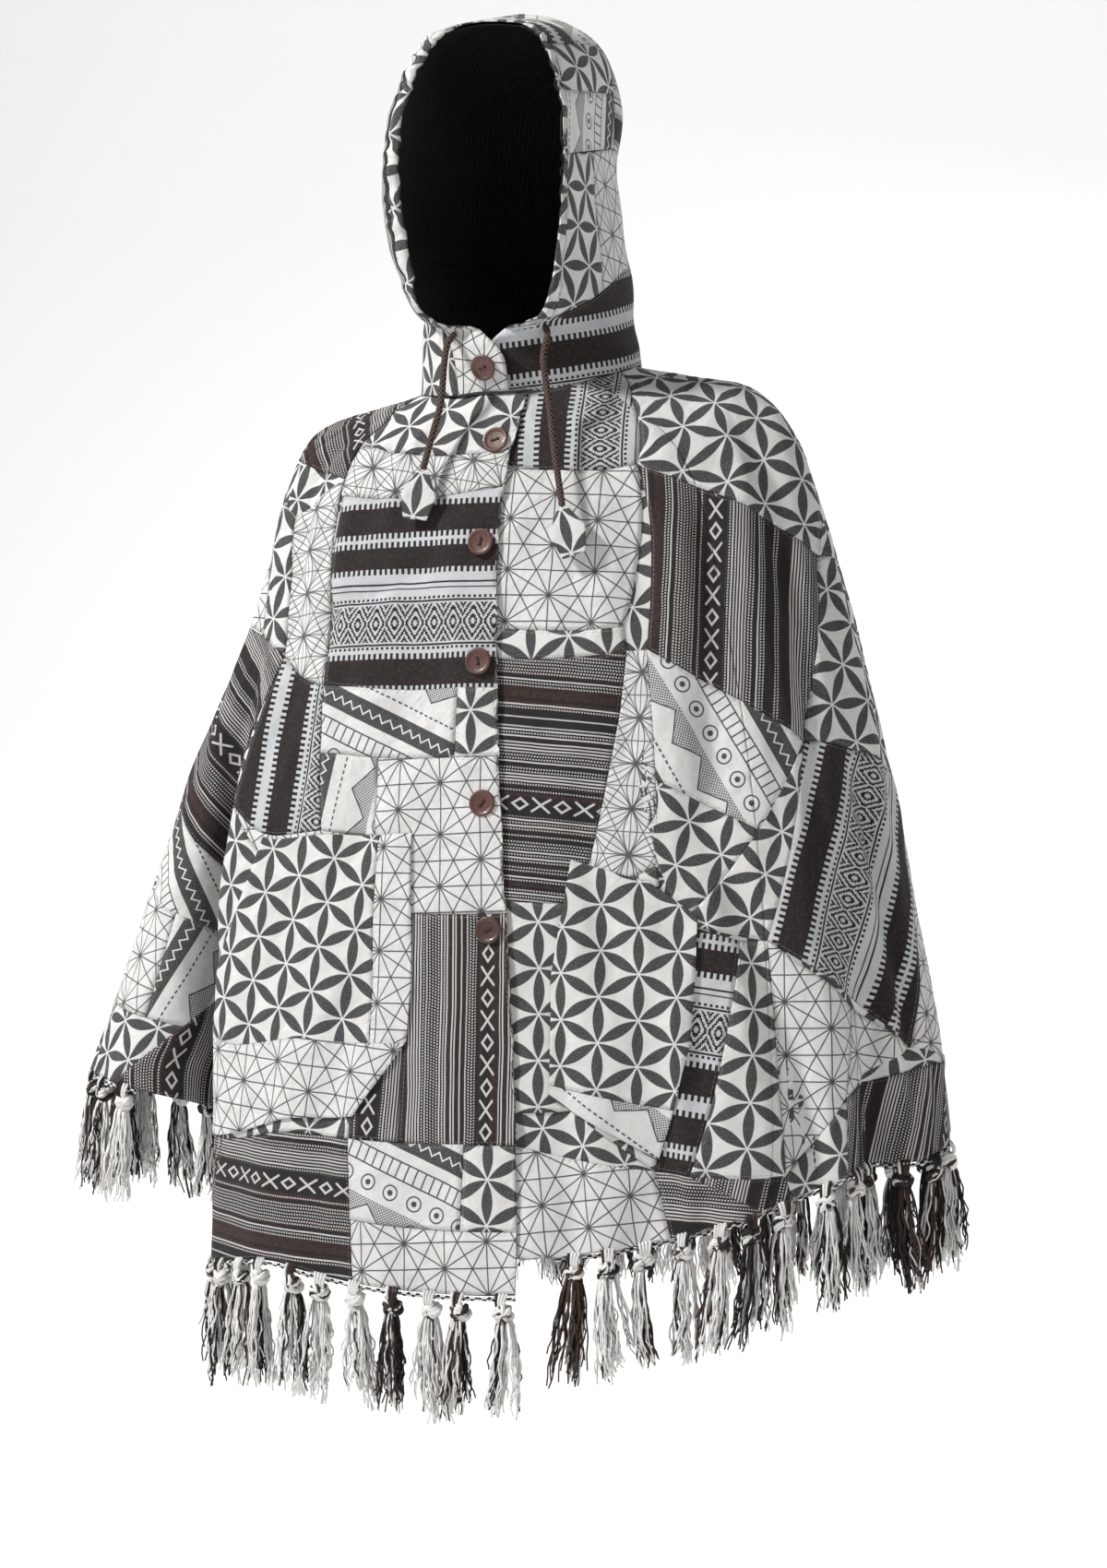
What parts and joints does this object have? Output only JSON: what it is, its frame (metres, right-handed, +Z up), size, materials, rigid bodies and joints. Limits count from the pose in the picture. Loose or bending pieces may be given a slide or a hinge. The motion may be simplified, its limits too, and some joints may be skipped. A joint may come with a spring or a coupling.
{
  "type": "hooded patchwork poncho",
  "caption": "A hooded cotton poncho with a buttoned front, two patch pockets, drawcords and a knotted tassel hem, pieced from black, white and brown printed and woven patches.",
  "frame": {"origin": "middle of the neck's base, where the wearer's shoulders carry the poncho", "axes": "+Z up, the wearer faces -Y, the wearer's left is +X"},
  "size_m": [0.8371, 0.3877, 1.2708],
  "materials": {
    "patchwork": "printed and handwoven cotton, matt",
    "lining": "black ribbed knit, matt",
    "coconut": "polished coconut shell, satin",
    "cord": "braided cotton, matt",
    "yarn": "twisted cotton yarns, matt"
  },
  "bodies": {
    "root": {"front_right": "patchwork", "front_left": "patchwork", "side_right": "patchwork", "side_left": "patchwork", "back": "patchwork", "hood_right": "patchwork", "hood_left": "patchwork", "hood_lining_right": "lining", "hood_lining_left": "lining", "pocket_right": "patchwork", "pocket_left": "patchwork", "button_1": "coconut", "button_2": "coconut", "button_3": "coconut", "button_4": "coconut", "button_5": "coconut", "button_6": "coconut", "cord_right": "cord", "cord_left": "cord", "cord_tab_right": "patchwork", "cord_tab_left": "patchwork", "fringe_front_right": "yarn", "fringe_front_left": "yarn", "fringe_side_left": "yarn", "fringe_back": "yarn", "fringe_side_right": "yarn"}
  },
  "joints": []
}
